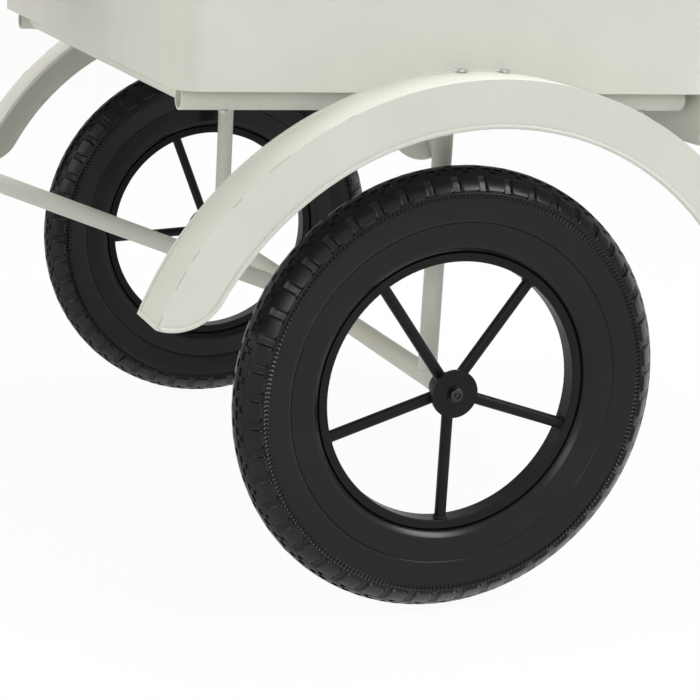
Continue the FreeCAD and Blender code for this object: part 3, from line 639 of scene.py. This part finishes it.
cream = surface("cream_powder_coat", dark=(214, 214, 204), light=(219, 219, 209), rough=(0.36, 0.48),
                peel_scale=520, peel_depth=0.05 * MM, specular=0.25)
black = surface("black_powder_coat", dark=(22, 22, 23), light=(27, 27, 28), rough=(0.30, 0.40),
                peel_scale=700, peel_depth=0.08 * MM, specular=0.14)
rubber = tyre_rubber()
grip_rubber = surface("grip_rubber", dark=(24, 24, 25), light=(30, 30, 31), rough=(0.5, 0.65),
                      peel_scale=1800, peel_depth=0.2 * MM, specular=0.2)
plastic = surface("saddle_plastic", dark=(26, 26, 26), light=(32, 31, 31), rough=(0.42, 0.55),
                  peel_scale=900, peel_depth=0.4 * MM, specular=0.22)
nylon = surface("bush_nylon", dark=(34, 34, 34), light=(42, 42, 42), rough=(0.4, 0.5),
                peel_scale=900, peel_depth=0.2 * MM, specular=0.3)
# painted shadow for the thin dark dashes along the fenders' crease
painted_crease_shadow = surface("crease_shadow", dark=(120, 117, 108), light=(146, 143, 133), rough=(0.6, 0.75),
               peel_scale=900, peel_depth=0.2 * MM, specular=0.2)
oxide = bare_metal("black_oxide", dark=(58, 58, 59), light=(68, 68, 69), rough=(0.26, 0.36))
zinc = bare_metal("zinc_plate", dark=(172, 174, 176), light=(196, 197, 198), rough=(0.24, 0.42))
slot_materials = {
    "cream_paint": cream,
    "black_paint": black,
    "black_steel": oxide,
    "tyre": rubber,
    "bush_nylon": nylon,
    "grip_rubber": grip_rubber,
    "saddle_plastic": plastic,
    "bright_steel": zinc,
}


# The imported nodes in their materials, and the pieces added to them

def dress_nodes():
    for subpart in frame["record"]["subparts"]:
        node = frame["nodes"][subpart["node"]]
        for place in node.material_slots:
            place.material = slot_materials[subpart["material_slot"]]
        shade_smooth(node.data)
        node.data.set_sharp_from_angle(angle=node_sharp_angle)


def dress_wheel(name, centre, side, first_angle):
    tread = tyre_mesh(name + "_tread", centre, side)
    tyre = new_object(name + "_tread", tread, name + "_wheel", rubber)
    tyre.data.set_sharp_from_angle(angle=tyre_sharp_angle)
    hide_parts(name + "_tyre")
    beads = sweep_mesh(name + "_spoke_welds", spoke_welds(centre, first_angle), spoke_weld_radius, True,
                       weld_sides, spoke_weld_roughness_share)
    new_object(name + "_spoke_welds", beads, name + "_wheel", black)


def dress_frame():
    heads = axle_screw_mesh("axle_screw_heads")
    axle_screws = new_object("axle_screw_heads", heads, "frame", oxide)
    axle_screws.data.set_sharp_from_angle(angle=screw_sharp_angle)
    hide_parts("rear_axle_screws")
    welds = sweep_mesh("frame_welds", frame_welds(), frame_weld_radius, True,
                       weld_sides, frame_weld_roughness_share)
    new_object("frame_welds", welds, "frame", cream)
    hems = [path(side) for side in (-1, 1) for path in (side_hem_path, band_hem_path)]
    rolls = sweep_mesh("fender_hem_rolls", hems, hem_roll_radius, False, hem_sides)
    new_object("fender_hem_rolls", rolls, "frame", cream)
    # dashes of painted shadow along each fender's crease
    dashes = [dash for side in (-1, 1) for dash in crease_dashes(side)]
    marks = sweep_mesh("fender_crease_marks", dashes, crease_line_radius, False, crease_sides)
    new_object("fender_crease_marks", marks, "frame", painted_crease_shadow)


dress_nodes()
dress_wheel("left_rear", left_wheel, 1, left_wheel_angle)
dress_wheel("right_rear", right_wheel, -1, right_wheel_angle)
dress_wheel("front", front_wheel, 1, front_wheel_angle)
dress_frame()


# Stage, light and camera

floor_size = 40
floor_drop = 0.5 * MM
floor_grey = 0.86
floor_roughness = 0.9
floor_glow_share = 0.95
world_light = 0.32
world_backdrop = 1.0


def seen_rays(nodes, links):
    # 1 where the camera, a reflection or clear glass looks at the white around the part
    path = nodes.new("ShaderNodeLightPath")
    seen = None
    for ray in ("Is Camera Ray", "Is Glossy Ray", "Is Transmission Ray"):
        if seen is None:
            seen = path.outputs[ray]
            continue
        either = nodes.new("ShaderNodeMath")
        either.operation = "MAXIMUM"
        links.new(seen, either.inputs[0])
        links.new(path.outputs[ray], either.inputs[1])
        seen = either.outputs[0]
    return seen


def stage():
    bpy.ops.mesh.primitive_plane_add(size=floor_size, location=(0, 0, -floor_drop))
    floor = bpy.context.object
    floor.name = "floor"
    material, nodes, links, shader = node_material("floor_white")
    shader.inputs["Base Color"].default_value = (floor_grey, floor_grey, floor_grey, 1)
    shader.inputs["Roughness"].default_value = floor_roughness
    floor.data.materials.append(material)
    glow = nodes.new("ShaderNodeEmission")
    mix = nodes.new("ShaderNodeMixShader")
    share = add_range(nodes, links, seen_rays(nodes, links), 0.0, floor_glow_share)
    links.new(share.outputs["Result"], mix.inputs["Fac"])
    links.new(shader.outputs["BSDF"], mix.inputs[1])
    links.new(glow.outputs["Emission"], mix.inputs[2])
    links.new(mix.outputs["Shader"], nodes["Material Output"].inputs["Surface"])


def world():
    space = bpy.data.worlds.new("studio")
    bpy.context.scene.world = space
    space.use_nodes = True
    nodes, links = space.node_tree.nodes, space.node_tree.links
    level = add_range(nodes, links, seen_rays(nodes, links), world_light, world_backdrop)
    links.new(level.outputs["Result"], nodes["Background"].inputs["Strength"])
    nodes["Background"].inputs["Color"].default_value = (1, 1, 1, 1)


def area_light(name, place, target, size, watts, colour):
    data = bpy.data.lights.new(name, "AREA")
    data.shape = "RECTANGLE"
    data.size, data.size_y = size
    data.energy = watts
    data.color = colour
    lamp = bpy.data.objects.new(name, data)
    bpy.context.scene.collection.objects.link(lamp)
    lamp.location = place
    lamp.rotation_euler = (Vector(target) - Vector(place)).to_track_quat("-Z", "Y").to_euler()


# The photo's camera, solved from the wheels' ellipses
photo_heading = math.radians(-22.44)
photo_elevation = math.radians(14.86)
photo_roll = math.radians(3.35)
photo_focal_pixels = 1939.7
photo_width_pixels = 700
sensor_width = 36.0
camera_from_wheel = Vector((-0.6441, -1.3479, 0.4242))


def camera():
    data = bpy.data.cameras.new("photo_camera")
    eye = bpy.data.objects.new("photo_camera", data)
    bpy.context.scene.collection.objects.link(eye)
    data.sensor_width = sensor_width
    data.lens = sensor_width * photo_focal_pixels / photo_width_pixels
    turn = (Matrix.Rotation(photo_heading, 4, "Z") @ Matrix.Rotation(math.pi / 2 - photo_elevation, 4, "X")
            @ Matrix.Rotation(photo_roll, 4, "Z"))
    eye.matrix_world = Matrix.Translation(left_wheel + camera_from_wheel) @ turn
    bpy.context.scene.camera = eye


stage()
world()
area_light("overhead", place=(0.3, 0.1, 2.7), target=(0.1, 0, 0.2), size=(1.2, 1.0), watts=34,
           colour=(1.0, 1.0, 1.0))
area_light("high_right", place=(1.95, -1.35, 2.4), target=(0.2, 0, 0.3), size=(1.8, 0.9), watts=54,
           colour=(0.96, 0.99, 1.0))
area_light("front_left", place=(-1.8, -2.6, 1.2), target=(0.1, 0, 0.3), size=(1.3, 1.0), watts=16,
           colour=(0.97, 0.99, 1.0))
area_light("left", place=(-2.9, 0.2, 1.45), target=(0.1, 0, 0.3), size=(2.8, 1.7), watts=26,
           colour=(1.0, 0.94, 0.84))
camera()
bpy.context.scene.view_settings.view_transform = "Standard"
